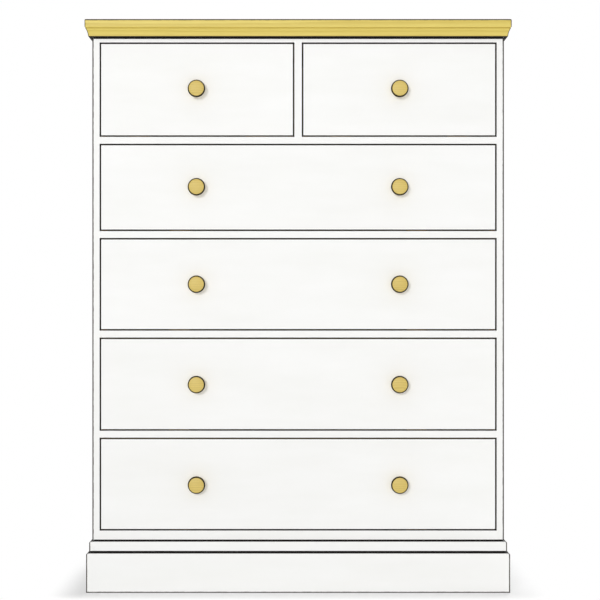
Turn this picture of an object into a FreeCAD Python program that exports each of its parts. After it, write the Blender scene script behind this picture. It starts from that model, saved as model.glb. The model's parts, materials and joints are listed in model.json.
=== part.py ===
import FreeCAD
import Part
import os

# A painted chest of drawers with a wooden top: two short drawers over four long ones, on a plinth.
# Sizes are in millimetres. X runs to the right, Y to the back and Z up, so the front faces -Y.
# The origin is on the floor, in the middle of the width and of the depth with the knobs.

# Case
OVERALL_HEIGHT = 1250.0
CASE_WIDTH = 900.0
CASE_DEPTH = 435.0
SIDE_THICKNESS = 16.0
SIDE_ARRIS = 2.0
BACK_THICKNESS = 6.0
BACK_REBATE = 8.0

# Front, from the floor up. The rows are the drawer openings, the lowest first, which share the height
# that the rest leaves.
PLINTH_HEIGHT = 85.5
BASE_MOULDING_HEIGHT = 25.0
BOTTOM_RAIL_REVEAL = 23.5
ROW_HEIGHT_SHARES = (0.2018, 0.2024, 0.2012, 0.1896, 0.2050)
RAIL_THICKNESS = 15.0
TOP_RAIL_REVEAL = 12.5
TOP_MOULDING_HEIGHT = 18.0
TOP_THICKNESS = 18.5

# Shadow grooves round the front and sides: under the top moulding, and above and below the base moulding
GROOVE_DEPTH = 4.0
TOP_GROOVE_HEIGHT = 5.0
BASE_GROOVE_HEIGHT = 4.0
PLINTH_GROOVE_HEIGHT = 5.0

# Rails, runners and kickers of the frames between the rows
RAIL_DEPTH = 60.0
BACK_RAIL_DEPTH = 45.0
BOTTOM_RAIL_DEPTH = 22.0
RUNNER_WIDTH = 40.0
CENTRE_RUNNER_WIDTH = 90.0
KICKER_THICKNESS = 16.0
MUNTIN_WIDTH = 16.0
MUNTIN_DEPTH = 45.0
GUIDE_HEIGHT = 20.0
TENON_SHOULDER_SHARE = 0.25
TENON_REACH_SHARE = 0.5
RUNNER_TENON_REACH = 10.0
STOP_WIDTH = 45.0
STOP_DEPTH = 20.0
STOP_HEIGHT = 7.0
STOP_PLACE_SHARES = (0.2, 0.8)

# Base under the bottom rails
PLINTH_THICKNESS = 12.0
PLINTH_ROUND = 3.0
PLINTH_BACKING_THICKNESS = 16.0
BASE_MOULDING_THICKNESS = 6.0
BASE_MOULDING_ROUND = 3.0
CORNER_BLOCK_LEG = 45.0
CORNER_BLOCK_LIFT = 8.0
DUST_PANEL_THICKNESS = 6.0
DUST_PANEL_GROOVE = 8.0
DUST_PANEL_LIFT = 8.0

# Top and the hollow moulding under it
TOP_OVERHANG = 15.0
TOP_UPPER_ROUND = 3.0
TOP_LOWER_ROUND = 2.5
TOP_MOULDING_HEAD = 13.5
TOP_MOULDING_FOOT = 8.0
TOP_MOULDING_HOLLOW = 1.2
TOP_MOULDING_ARRIS = 1.5

# Drawer boxes, dovetailed at all four corners
DRAWER_BACK_CLEARANCE = 24.0
DRAWER_GAP = 3.0
RUN_CLEARANCE = 0.3
FRONT_THICKNESS = 18.0
FRONT_ARRIS = 0.6
FRONT_LAP = 5.0
DRAWER_SIDE_THICKNESS = 12.0
DRAWER_BACK_THICKNESS = 12.0
DRAWER_BACK_DROP = 8.0
DRAWER_BOTTOM_THICKNESS = 6.0
DRAWER_BOTTOM_LIFT = 12.0
DRAWER_BOTTOM_GROOVE = 6.0
DOVETAIL_PITCH = 48.0
DOVETAIL_PIN = 6.0
DOVETAIL_SLOPE = 1.0 / 7.0

# Turned knobs. Each step of the profile, from the foot to the middle of the face, is a share of the
# knob's radius and a share of its projection.
KNOB_DIAMETER = 38.0
KNOB_PROJECTION = 30.0
KNOB_PROFILE_SHARES = ((0.45, 0.0), (0.45, 0.48), (1.0, 0.48), (1.0, 0.84), (0.84, 1.0), (0.0, 1.0))

# How far a cutter runs past what it cuts
CUT_OVERRUN = 5.0

# Places that follow from the sizes
FRONT_REACH = max(KNOB_PROJECTION, TOP_OVERHANG, PLINTH_THICKNESS)
BACK_Y = (CASE_DEPTH + FRONT_REACH) / 2
FRONT_Y = BACK_Y - CASE_DEPTH
PANEL_Y = BACK_Y - BACK_THICKNESS
DRAWER_LENGTH = CASE_DEPTH - BACK_THICKNESS - DRAWER_BACK_CLEARANCE
SIDE_X = CASE_WIDTH / 2
INNER_X = SIDE_X - SIDE_THICKNESS
MUNTIN_X = MUNTIN_WIDTH / 2
BASE_MOULDING_TOP = PLINTH_HEIGHT + BASE_MOULDING_HEIGHT
FIRST_ROW_Z = BASE_MOULDING_TOP + BOTTOM_RAIL_REVEAL
CASE_TOP = OVERALL_HEIGHT - TOP_THICKNESS
TOP_MOULDING_LOW = CASE_TOP - TOP_MOULDING_HEIGHT
TOP_ROW_Z = TOP_MOULDING_LOW - TOP_RAIL_REVEAL
TENON_REACH = SIDE_THICKNESS * TENON_REACH_SHARE


def row_spans():
    """The lowest and highest level of each row's opening, from the bottom row up."""
    rails = RAIL_THICKNESS * (len(ROW_HEIGHT_SHARES) - 1)
    open_height = TOP_ROW_Z - FIRST_ROW_Z - rails
    spans = []
    level = FIRST_ROW_Z
    for share in ROW_HEIGHT_SHARES:
        height = open_height * share / sum(ROW_HEIGHT_SHARES)
        spans.append((level, level + height))
        level += height + RAIL_THICKNESS
    return spans


ROWS = row_spans()


def vector(x, y, z):
    return FreeCAD.Vector(x, y, z)


def block(x_span, y_span, z_span):
    """A rectangular board between the given limits on the three axes."""
    spans = (x_span, y_span, z_span)
    lengths = [high - low for low, high in spans]
    return Part.makeBox(*lengths, vector(*[low for low, high in spans]))


def prism(points, push):
    """A solid with flat sides, whose outline joins the points."""
    return Part.Face(Part.makePolygon(points + points[:1])).extrude(push)


def cut(shape, tools):
    """The one solid that is left of a shape when the tools are taken out of it."""
    for tool in tools:
        shape = shape.cut(tool)
    return shape.Solids[0]


def tenoned(spans, axis, reach):
    """A board with a stub tenon on both ends along one axis: 0 for X, 1 for Y and 2 for Z."""
    shares = (TENON_SHOULDER_SHARE, 1 - TENON_SHOULDER_SHARE)
    core = [tuple(along(span, share) for share in shares) for span in spans]
    core[axis] = (spans[axis][0] - reach, spans[axis][1] + reach)
    return block(*spans).fuse(block(*core)).removeSplitter().Solids[0]


def mirrored(shape):
    """The same piece on the other side of the chest."""
    return shape.mirror(vector(0, 0, 0), vector(1, 0, 0)).Solids[0]


def along(span, share):
    """The place at a share of the way from the low to the high end of a span."""
    return span[0] + (span[1] - span[0]) * share


def chosen_edges(shape, chosen):
    """The edges whose middle is chosen."""
    return [edge for edge in shape.Edges if chosen(edge.CenterOfMass)]


def rounded(shape, radius, chosen):
    """The shape with the chosen edges rounded off."""
    return shape.makeFillet(radius, chosen_edges(shape, chosen)).Solids[0]


def bevelled(shape, width, chosen):
    """The shape with the chosen edges planed to a small bevel."""
    return shape.makeChamfer(width, chosen_edges(shape, chosen)).Solids[0]


def same(a, b):
    return abs(a - b) < Part.Precision.confusion() * SIDE_X


# Mouldings that run along the front and both sides, mitred at the front corners

def round_top_profile(place, z_span, thickness, radius):
    """A flat board with its upper outside edge rounded. place turns a reach and a level into a point."""
    low, high = z_span
    quarter = radius * 0.5 ** 0.5
    shoulder = place(thickness, high - radius)
    middle = place(thickness - radius + quarter, high - radius + quarter)
    crown = place(thickness - radius, high)
    return [
        Part.LineSegment(place(0, low), place(thickness, low)),
        Part.LineSegment(place(thickness, low), shoulder),
        Part.Arc(shoulder, middle, crown),
        Part.LineSegment(crown, place(0, high)),
        Part.LineSegment(place(0, high), place(0, low)),
    ]


def grooved_profile(place, z_span, thickness, radius):
    """A flat board with its upper outside edge rounded, and a shadow groove along its lower one."""
    low, high = z_span
    wall = thickness - GROOVE_DEPTH
    lip = low + PLINTH_GROOVE_HEIGHT
    foot = [
        Part.LineSegment(place(0, low), place(wall, low)),
        Part.LineSegment(place(wall, low), place(wall, lip)),
        Part.LineSegment(place(wall, lip), place(thickness, lip)),
        Part.LineSegment(place(thickness, lip), place(thickness, high - radius)),
    ]
    return foot + round_top_profile(place, z_span, thickness, radius)[2:]


def hollow_profile(place, z_span, head, foot, hollow, arris):
    """A shallow hollow that draws in from the head, under the top, to the foot."""
    low, high = z_span
    shoulder = high - arris
    middle = place((head + foot) / 2 - hollow, (low + shoulder) / 2)
    return [
        Part.LineSegment(place(0, low), place(foot, low)),
        Part.Arc(place(foot, low), middle, place(head, shoulder)),
        Part.LineSegment(place(head, shoulder), place(head - arris, high)),
        Part.LineSegment(place(head - arris, high), place(0, high)),
        Part.LineSegment(place(0, high), place(0, low)),
    ]


def front_place(reach, level):
    return vector(-SIDE_X - TOP_OVERHANG - PLINTH_THICKNESS, FRONT_Y - reach, level)


def side_place(reach, level):
    return vector(-SIDE_X - reach, BACK_Y, level)


def profile_face(edges):
    return Part.Face(Part.Wire([edge.toShape() for edge in edges]))


def mitre_wedge(corner_sign, reach, z_span, front_half):
    """The half of a front corner, on the far side of its mitre, that a length gives up."""
    low = z_span[0] - CUT_OVERRUN
    corner = vector(corner_sign * SIDE_X, FRONT_Y, low)
    outer = vector(corner_sign * (SIDE_X + reach), FRONT_Y - reach, low)
    if front_half:
        third = vector(corner.x, outer.y, low)
    else:
        third = vector(outer.x, corner.y, low)
    return prism([corner, outer, third], vector(0, 0, z_span[1] + CUT_OVERRUN - low))


def surround(profile, z_span, reach, *sizes):
    """The front, left and right lengths of a profile that runs round the case."""
    wide = reach + CUT_OVERRUN
    length = -2 * front_place(0, 0).x
    front = profile_face(profile(front_place, z_span, *sizes)).extrude(vector(length, 0, 0))
    front = cut(front, [mitre_wedge(sign, length, z_span, False) for sign in (-1, 1)])
    run = FRONT_Y - wide - BACK_Y
    left = profile_face(profile(side_place, z_span, *sizes)).extrude(vector(0, run, 0))
    left = cut(left, [mitre_wedge(-1, wide, z_span, True)])
    return front, left, mirrored(left)


def shadow_groove(z_span):
    """What is taken out of the front and sides of the case for a groove between two levels."""
    outer_x = SIDE_X + CUT_OVERRUN
    inner_x = SIDE_X - GROOVE_DEPTH
    end_y = BACK_Y + CUT_OVERRUN
    around = block((-outer_x, outer_x), (FRONT_Y - CUT_OVERRUN, end_y), z_span)
    kept = block((-inner_x, inner_x), (FRONT_Y + GROOVE_DEPTH, end_y), z_span)
    return cut(around, [kept])


def shadow_grooves():
    """The groove under the top moulding and the one above the base moulding."""
    return [
        shadow_groove((TOP_MOULDING_LOW - TOP_GROOVE_HEIGHT, TOP_MOULDING_LOW)),
        shadow_groove((BASE_MOULDING_TOP, BASE_MOULDING_TOP + BASE_GROOVE_HEIGHT)),
    ]


# Frames that carry the drawers

def cross_rail(y_span, z_span):
    """A rail from side to side, tenoned into both side panels."""
    return tenoned([(-INNER_X, INNER_X), y_span, z_span], 0, TENON_REACH)


def runner(x_span, y_span, z_span):
    """A strip from a front rail to a back rail, tenoned into both."""
    return tenoned([x_span, y_span, z_span], 1, RUNNER_TENON_REACH)


def side_strips(y_span, z_span):
    """The left and right strips that lie along the side panels."""
    left = runner((-INNER_X, -INNER_X + RUNNER_WIDTH), y_span, z_span)
    return [left, mirrored(left)]


def drawer_stops():
    """Blocks on the rails that the backs of the drawer fronts close against."""
    stops = []
    start = FRONT_Y + FRONT_THICKNESS + RUN_CLEARANCE
    for x_span, z_span in openings():
        for share in STOP_PLACE_SHARES:
            middle = along(x_span, share)
            stops.append(block(
                (middle - STOP_WIDTH / 2, middle + STOP_WIDTH / 2),
                (start, start + STOP_DEPTH),
                (z_span[0], z_span[0] + STOP_HEIGHT),
            ))
    return stops


# Drawers

def openings():
    """The width and height limits of each drawer's opening: four long ones, then the two short ones."""
    wide = (-INNER_X, INNER_X)
    long_ones = [(wide, z_span) for z_span in ROWS[:-1]]
    left = (-INNER_X, -MUNTIN_X)
    right = (MUNTIN_X, INNER_X)
    return long_ones + [(left, ROWS[-1]), (right, ROWS[-1])]


KNOB_X = (INNER_X + MUNTIN_X) / 2
DRAWER_NAMES = (
    "bottom_drawer", "fourth_drawer", "third_drawer", "second_drawer",
    "top_left_drawer", "top_right_drawer",
)


def dovetail_pins(x_span, z_span, root, tip):
    """The pins that fill the spaces between the tails, half ones at both ends. Tails run from root to tip."""
    height = z_span[1] - z_span[0]
    count = max(1, round(height / DOVETAIL_PITCH))
    narrow = DOVETAIL_PIN / 2
    wide = narrow + abs(tip - root) * DOVETAIL_SLOPE
    push = vector(x_span[1] - x_span[0], 0, 0)
    pins = []
    for step in range(count + 1):
        middle = along(z_span, step / count)
        pins.append(prism([
            vector(x_span[0], root, middle - wide),
            vector(x_span[0], root, middle + wide),
            vector(x_span[0], tip, middle + narrow),
            vector(x_span[0], tip, middle - narrow),
        ], push))
    return pins


def knob(x, z):
    """A turned knob on the drawer front, with a waist behind its head for the fingers."""
    radius = KNOB_DIAMETER / 2
    outline = [vector(x, FRONT_Y, z)]
    for radius_share, place_share in KNOB_PROFILE_SHARES:
        outline.append(vector(x + radius * radius_share, FRONT_Y - KNOB_PROJECTION * place_share, z))
    face = Part.Face(Part.makePolygon(outline + outline[:1]))
    return face.revolve(vector(x, FRONT_Y, z), vector(0, 1, 0), 360).Solids[0]


def drawer(x_span, z_span, knob_places):
    """The pieces of one inset drawer, by kind, for an opening of the given width and height limits."""
    left, right = x_span[0] + DRAWER_GAP, x_span[1] - DRAWER_GAP
    low, high = z_span[0] + RUN_CLEARANCE, z_span[1] - DRAWER_GAP
    lap = FRONT_Y + FRONT_LAP
    shoulder = FRONT_Y + FRONT_THICKNESS
    end = FRONT_Y + DRAWER_LENGTH
    back_start = end - DRAWER_BACK_THICKNESS
    bottom_z = low + DRAWER_BOTTOM_LIFT
    floor_z = bottom_z + DRAWER_BOTTOM_THICKNESS
    back_z = (floor_z, high - DRAWER_BACK_DROP)
    front_z = (z_span[0] + DRAWER_GAP, high)
    inner = (left + DRAWER_SIDE_THICKNESS, right - DRAWER_SIDE_THICKNESS)

    bottom = block(
        (inner[0] - DRAWER_BOTTOM_GROOVE, inner[1] + DRAWER_BOTTOM_GROOVE),
        (shoulder - DRAWER_BOTTOM_GROOVE, end),
        (bottom_z, floor_z),
    )
    sides = []
    for side_x in ((left, inner[0]), (inner[1], right)):
        pins = dovetail_pins(side_x, front_z, shoulder, lap)
        pins += dovetail_pins(side_x, back_z, back_start, end)
        pins.append(block(side_x, (lap, shoulder), (low, front_z[0])))
        sides.append(cut(block(side_x, (lap, end), (low, high)), pins + [bottom]))

    front = block((left, right), (FRONT_Y, shoulder), front_z)
    front = bevelled(front, FRONT_ARRIS, lambda middle: same(middle.y, FRONT_Y))
    front = cut(front, sides + [bottom])
    back = cut(block((left, right), (back_start, end), back_z), sides)
    knobs = [knob(x, z) for x, z in knob_places]
    return {"front": [front], "sides": sides, "back": [back], "bottom": [bottom], "knobs": knobs}


def drawer_nodes():
    """All drawer pieces by node name."""
    nodes = {}
    for name, (x_span, z_span) in zip(DRAWER_NAMES, openings()):
        z = (z_span[0] + z_span[1]) / 2
        columns = [x for x in (-KNOB_X, KNOB_X) if x_span[0] < x < x_span[1]]
        pieces = drawer(x_span, z_span, [(x, z) for x in columns])
        for kind, solids in pieces.items():
            nodes[f"{name}_{kind}"] = solids
    return nodes


def frame_nodes():
    """The frames between the rows: rails in front and behind, with runners between them."""
    front_y = (FRONT_Y, FRONT_Y + RAIL_DEPTH)
    back_y = (PANEL_Y - BACK_RAIL_DEPTH, PANEL_Y)
    between_y = (front_y[1], back_y[0])
    bottom_front_y = (FRONT_Y, FRONT_Y + BOTTOM_RAIL_DEPTH)
    bottom_back_y = (PANEL_Y - BOTTOM_RAIL_DEPTH, PANEL_Y)
    bottom_between_y = (bottom_front_y[1], bottom_back_y[0])
    levels = [(low - RAIL_THICKNESS, low) for low, high in ROWS[1:]]
    bottom_level = (FIRST_ROW_Z - RAIL_THICKNESS, FIRST_ROW_Z)
    bottom_rail_z = (PLINTH_HEIGHT, FIRST_ROW_Z)
    top_rail_z = (TOP_ROW_Z, CASE_TOP)
    kicker_z = (TOP_ROW_Z, TOP_ROW_Z + KICKER_THICKNESS)
    centre_x = (-CENTRE_RUNNER_WIDTH / 2, CENTRE_RUNNER_WIDTH / 2)
    muntin_x = (-MUNTIN_X, MUNTIN_X)

    runners = side_strips(bottom_between_y, bottom_level)
    for level in levels:
        runners += side_strips(between_y, level)
    centre_runner = runner(centre_x, between_y, levels[-1])
    kickers = side_strips(between_y, kicker_z) + [runner(centre_x, between_y, kicker_z)]
    muntin_y = (FRONT_Y, FRONT_Y + MUNTIN_DEPTH)
    muntin = tenoned([muntin_x, muntin_y, ROWS[-1]], 2, TENON_REACH)
    guide_z = (ROWS[-1][0], ROWS[-1][0] + GUIDE_HEIGHT)
    guide = block(muntin_x, (muntin_y[1], PANEL_Y), guide_z)
    dust_y = (bottom_between_y[0] - DUST_PANEL_GROOVE, bottom_between_y[1] + DUST_PANEL_GROOVE)
    dust_low = PLINTH_HEIGHT + DUST_PANEL_LIFT
    dust_panel = block((-INNER_X, INNER_X), dust_y, (dust_low, dust_low + DUST_PANEL_THICKNESS))

    seated = runners + kickers + [centre_runner, muntin, dust_panel] + shadow_grooves()
    drawer_rails = [cut(cross_rail(front_y, level), seated) for level in levels]
    back_rails = [cut(cross_rail(back_y, level), seated) for level in levels]
    top_rails = [cut(cross_rail(y_span, top_rail_z), seated) for y_span in (front_y, back_y)]
    bottom_rails = [cut(cross_rail(y, bottom_rail_z), seated) for y in (bottom_front_y, bottom_back_y)]
    return {
        "drawer_rails": drawer_rails, "back_rails": back_rails, "top_rails": top_rails,
        "bottom_rails": bottom_rails, "side_runners": runners, "centre_runner": [centre_runner],
        "kickers": kickers, "muntin": [muntin], "centre_guide": [guide],
        "dust_panel": [dust_panel], "drawer_stops": drawer_stops(),
    }


def base_nodes():
    """The plinth round the foot of the case, its backing boards and blocks, and the moulding on it."""
    plinth = surround(
        round_top_profile, (0, PLINTH_HEIGHT), PLINTH_THICKNESS, PLINTH_THICKNESS, PLINTH_ROUND,
    )
    moulding = surround(
        grooved_profile, (PLINTH_HEIGHT, BASE_MOULDING_TOP), BASE_MOULDING_THICKNESS,
        BASE_MOULDING_THICKNESS, BASE_MOULDING_ROUND,
    )
    backing_y = (
        (FRONT_Y, FRONT_Y + PLINTH_BACKING_THICKNESS),
        (PANEL_Y - PLINTH_BACKING_THICKNESS, PANEL_Y),
    )
    backing = [cross_rail(y_span, (0, PLINTH_HEIGHT)) for y_span in backing_y]
    blocks = []
    for y, leg in ((backing_y[0][1], CORNER_BLOCK_LEG), (backing_y[1][0], -CORNER_BLOCK_LEG)):
        corner = vector(-INNER_X, y, CORNER_BLOCK_LIFT)
        outline = [corner, corner + vector(CORNER_BLOCK_LEG, 0, 0), corner + vector(0, leg, 0)]
        left = prism(outline, vector(0, 0, PLINTH_HEIGHT - CORNER_BLOCK_LIFT))
        blocks += [left, mirrored(left)]
    return {
        "plinth_front": plinth[:1], "plinth_returns": list(plinth[1:]),
        "base_moulding_front": moulding[:1], "base_moulding_returns": list(moulding[1:]),
        "plinth_backing": backing, "corner_blocks": blocks,
    }


def top_nodes():
    """The top board, with eased edges on its three free sides, and the moulding under it."""
    board = block(
        (-SIDE_X - TOP_OVERHANG, SIDE_X + TOP_OVERHANG),
        (FRONT_Y - TOP_OVERHANG, BACK_Y),
        (CASE_TOP, OVERALL_HEIGHT),
    )
    board = rounded(
        board, TOP_UPPER_ROUND,
        lambda middle: same(middle.z, OVERALL_HEIGHT) and not same(middle.y, BACK_Y),
    )
    board = rounded(
        board, TOP_LOWER_ROUND,
        lambda middle: same(middle.z, CASE_TOP) and not same(middle.y, BACK_Y),
    )
    moulding = surround(
        hollow_profile, (TOP_MOULDING_LOW, CASE_TOP), TOP_MOULDING_HEAD,
        TOP_MOULDING_HEAD, TOP_MOULDING_FOOT, TOP_MOULDING_HOLLOW, TOP_MOULDING_ARRIS,
    )
    return {
        "top_board": [board],
        "top_moulding_front": moulding[:1], "top_moulding_returns": list(moulding[1:]),
    }


def panel_nodes(rails):
    """The two side panels, mortised for the rails and rebated for the back, and the back panel."""
    back = block(
        (-INNER_X - BACK_REBATE, INNER_X + BACK_REBATE), (PANEL_Y, BACK_Y), (PLINTH_HEIGHT, CASE_TOP),
    )
    rebate = block((-INNER_X - BACK_REBATE, -INNER_X), (PANEL_Y, BACK_Y), (0, CASE_TOP))
    left = block((-SIDE_X, -INNER_X), (FRONT_Y, BACK_Y), (0, CASE_TOP))
    left = rounded(
        left, SIDE_ARRIS, lambda middle: same(middle.x, -SIDE_X) and same(middle.y, FRONT_Y),
    )
    left = cut(left, [rebate] + rails + shadow_grooves())
    return {"side_panel_left": [left], "side_panel_right": [mirrored(left)], "back_panel": [back]}


def all_nodes():
    """Every piece of the chest: each node's name with its solids."""
    nodes = frame_nodes()
    nodes.update(base_nodes())
    rail_names = ("drawer_rails", "back_rails", "top_rails", "bottom_rails", "plinth_backing")
    nodes.update(panel_nodes([rail for name in rail_names for rail in nodes[name]]))
    nodes.update(top_nodes())
    nodes.update(drawer_nodes())
    return nodes


def main():
    os.makedirs("parts", exist_ok=True)
    for name, solids in all_nodes().items():
        shape = solids[0] if len(solids) == 1 else Part.makeCompound(solids)
        shape.exportStep(f"parts/{name}.step")


if __name__ == "__main__":
    main()
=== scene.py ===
import json
import math
from typing import NamedTuple

import bmesh
import bpy
from mathutils import Color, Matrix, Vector

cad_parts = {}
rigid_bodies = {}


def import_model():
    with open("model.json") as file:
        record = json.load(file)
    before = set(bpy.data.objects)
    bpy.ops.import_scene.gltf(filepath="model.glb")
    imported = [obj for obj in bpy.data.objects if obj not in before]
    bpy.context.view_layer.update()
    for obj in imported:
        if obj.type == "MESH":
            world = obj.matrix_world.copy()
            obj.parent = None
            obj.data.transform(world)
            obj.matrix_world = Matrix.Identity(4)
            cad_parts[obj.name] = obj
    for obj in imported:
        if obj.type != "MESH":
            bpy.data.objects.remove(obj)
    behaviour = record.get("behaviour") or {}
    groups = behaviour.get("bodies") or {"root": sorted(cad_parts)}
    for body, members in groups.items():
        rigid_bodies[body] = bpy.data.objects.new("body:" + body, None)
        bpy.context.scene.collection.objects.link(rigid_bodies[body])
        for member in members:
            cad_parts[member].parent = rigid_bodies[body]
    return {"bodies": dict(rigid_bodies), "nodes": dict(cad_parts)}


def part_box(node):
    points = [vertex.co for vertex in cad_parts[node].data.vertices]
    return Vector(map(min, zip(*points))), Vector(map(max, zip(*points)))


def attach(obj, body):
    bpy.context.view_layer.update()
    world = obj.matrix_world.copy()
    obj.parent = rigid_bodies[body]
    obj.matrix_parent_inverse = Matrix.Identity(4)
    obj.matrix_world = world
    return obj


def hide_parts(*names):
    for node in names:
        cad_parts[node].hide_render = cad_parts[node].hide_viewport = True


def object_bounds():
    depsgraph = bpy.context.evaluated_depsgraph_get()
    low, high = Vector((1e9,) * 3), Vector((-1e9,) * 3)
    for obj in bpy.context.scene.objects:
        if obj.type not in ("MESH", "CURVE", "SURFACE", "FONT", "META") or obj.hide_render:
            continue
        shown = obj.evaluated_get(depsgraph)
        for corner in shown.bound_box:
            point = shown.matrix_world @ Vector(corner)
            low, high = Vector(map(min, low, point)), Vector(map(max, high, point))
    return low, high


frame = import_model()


class Lamp(NamedTuple):
    """An area lamp: its place, the point it is aimed at, its width in metres and its power."""
    name: str
    place: tuple
    aim: tuple
    width: float
    watts: float


class Noise(NamedTuple):
    """Smooth noise: how fine it is, how much finer noise lies on it, and how it is drawn out."""
    scale: float
    detail: float = 2.0
    roughness: float = 0.5
    stretch: tuple = (1.0, 1.0, 1.0)


class Wood(NamedTuple):
    """A solid wood: its early and late colours, the width of its rings and how much they show."""
    early: tuple
    late: tuple
    ring_width: float
    figure: float


CAD_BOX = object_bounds()
NODES = frame["nodes"]
DRAWERS = [body for body in frame["bodies"] if body.endswith("_drawer")]

# Places and sizes that come from the frame, in metres. The front of the case faces -Y.
LEFT_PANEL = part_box("side_panel_left")
CASE_FRONT = LEFT_PANEL[0].y
CASE_BACK = LEFT_PANEL[1].y
CASE_TOP = LEFT_PANEL[1].z
CASE_HALF_WIDTH = -LEFT_PANEL[0].x
CASE_INSIDE_HALF_WIDTH = -LEFT_PANEL[1].x
TOP_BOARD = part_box("top_board")
TOP_MOULDING_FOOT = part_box("top_moulding_front")[0].z
BASE_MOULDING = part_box("base_moulding_front")
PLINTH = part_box("plinth_front")
BACK_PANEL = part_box("back_panel")
DRAWER_FRONT_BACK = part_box("bottom_drawer_front")[1].y
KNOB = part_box("top_left_drawer_knobs")
KNOB_RADIUS = (KNOB[1].z - KNOB[0].z) / 2
KNOB_PROJECTION = KNOB[1].y - KNOB[0].y

# How the picture frames the chest: its pixels across, the pixels of the case's two edges, and the eye
PICTURE_PIXELS = 600
CASE_LEFT_PIXEL = 92.25
CASE_RIGHT_PIXEL = 504.0
EYE_LEVEL = 0.638
EYE_DISTANCE = 3.8
SENSOR_MILLIMETRES = 36.0

# Light. Strengths are set so that a pale colour facing the front renders about as it is written.
WHITE = (1.0, 1.0, 1.0, 1.0)
SKY_EVEN = 0.24
SKY_FRONT = 0.37
SKY_BACK = 0.34
SKY_TOP = 0.30
FLOOR_REACH = 14.0
FLOOR_SHADE = (0.86, 0.86, 0.86, 1.0)
SHADOW_FADE = (0.0, 0.08)
SHADOW_SHARE = 0.7
LAMPS = (
    Lamp("key_lamp", place=(-2.3, -9.9, 2.45), aim=(0.0, -0.2, 0.62), width=1.2, watts=290.0),
    Lamp("low_lamp", place=(0.3, -4.2, 0.15), aim=(0.0, -0.2, 0.20), width=2.0, watts=24.0),
    Lamp("back_lamp", place=(1.1, 2.9, 3.5), aim=(0.0, 0.1, 0.8), width=2.0, watts=88.0),
)

# Paint, in metres: how far it turns round a front edge, and how deep the wood behind it takes painted shade
PAINT_TURN = 0.0006
FRONT_PAINT_TURN = 0.0001
PAINT_FEATHER_SHARE = 0.5
REVEAL_DEPTH = 0.022
FRONT_REVEAL_DEPTH = 0.0025

# Widths in metres of the painted shade along arrises and of the mitre lines,
# and how they feather out and wander as shares of those
CASE_EDGE_LINE = 0.0033
BASE_EDGE_LINE = 0.0026
FRONT_EDGE_LINE = 0.0005
TOP_EDGE_LINE = 0.0032
TOP_END_LINE = 0.0019
TOP_MITRE_LINE = 0.0016
LINE_CORE_SHARE = 0.8
LINE_WANDER = (0.92, 1.08)

# The shadow grooves, as levels in metres, and how far their painted shade fades at an edge or down from a
# ledge
TOP_GROOVE_HEIGHT = 0.005
BASE_GROOVE_HEIGHT = 0.004
PLINTH_GROOVE_HEIGHT = 0.005
TOP_GROOVE = (TOP_MOULDING_FOOT - TOP_GROOVE_HEIGHT, TOP_MOULDING_FOOT)
BASE_GROOVE = (BASE_MOULDING[1].z, BASE_MOULDING[1].z + BASE_GROOVE_HEIGHT)
PLINTH_GROOVE = (PLINTH[1].z, PLINTH[1].z + PLINTH_GROOVE_HEIGHT)
CASE_GROOVES = (TOP_GROOVE, BASE_GROOVE)
GROOVE_SKIN = 0.0005
GROOVE_LIP = GROOVE_SKIN / 4
LEDGE_SKIN = 0.0004

# A limit that no face of the chest reaches
FAR = 10.0

# How much each finish mirrors its surroundings, how rough it is, and the depth of its relief in metres
LACQUER_GLOSS = 0.3
LACQUER_ROUGHNESS = 0.42
LACQUER_RELIEF = 0.00006
KNOB_RELIEF = 0.00005
WORN_ROUGHNESS = 0.90
PAINT_GLOSS = 0.35
TRIM_ROUGHNESS = (0.44, 0.56)
BOARD_ROUGHNESS = (0.50, 0.62)
PAINT_RELIEF = 0.00008
BARE_GLOSS = 0.25
PINE_ROUGHNESS = 0.6
PINE_RELIEF = 0.0001
PLY_ROUGHNESS = 0.58
PLY_RELIEF = 0.00006
ZINC_GLOSS = 0.5
ZINC_ROUGHNESS = 0.36
ZINC_RELIEF = 0.00002

# Colours as they are read off a screen, from 0 to 255
SCREEN_WHITE = 255
PAINT_LOW = (242, 242, 239)
PAINT_HIGH = (249, 249, 248)
# Painted shade along the arrises of the white paint, also the colour of the trim's mitre lines
PAINT_EDGE_SHADE_AND_MITRE = (62, 57, 53)
# Painted shade: the dark colour in the reveals round the drawers
PAINTED_REVEAL_SHADE = (56, 50, 46)
# Painted shade: the dark colour in the grooves, under the top moulding and on the ledges
PAINTED_RECESS_SHADE = (30, 27, 25)
GOLD_EARLY = (227, 207, 110)
GOLD_LATE = (203, 179, 80)
# Painted shade along the arrises of the golden top, also the colour of the moulding's mitre lines
GOLD_EDGE_SHADE_AND_MITRE = (62, 49, 25)
# Painted shade: a dark ring round each knob's rim
RIM_SHADE_COLOUR = (24, 18, 10)
PLY_EARLY = (222, 193, 148)
PLY_LATE = (197, 161, 113)
ZINC_DARK = (150, 150, 147)
ZINC_LIGHT = (176, 176, 172)

# Woods, and where each piece lies in its log, in metres along the grain and across from the pith
TOP_WOOD = Wood(GOLD_EARLY, GOLD_LATE, ring_width=0.0058, figure=0.55)
MOULDING_WOOD = Wood(GOLD_EARLY, GOLD_LATE, ring_width=0.0052, figure=0.40)
KNOB_WOOD = Wood((220, 196, 112), (196, 169, 84), ring_width=0.0042, figure=0.45)
PINE = Wood((229, 200, 152), (196, 150, 96), ring_width=0.0062, figure=0.75)
TOP_PITH_DEPTH = 0.045
MOULDING_PITH_DEPTH = 0.03
TOP_CUT = (0.0, 0.0, TOP_PITH_DEPTH - CASE_TOP)
MOULDING_CUT = (1.3, 0.16, MOULDING_PITH_DEPTH - CASE_TOP)
KNOB_CUT = (0.0, 0.03, 0.03)
PAINTED_CUT = (0.0, 0.03, 0.045)
LENGTHWAYS_CUT = (0.2, 0.01, 0.02)
CROSSWAYS_CUT = (0.7, 0.02, 0.03)
UPRIGHT_CUT = (0.4, 0.02, 0.03)

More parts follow.
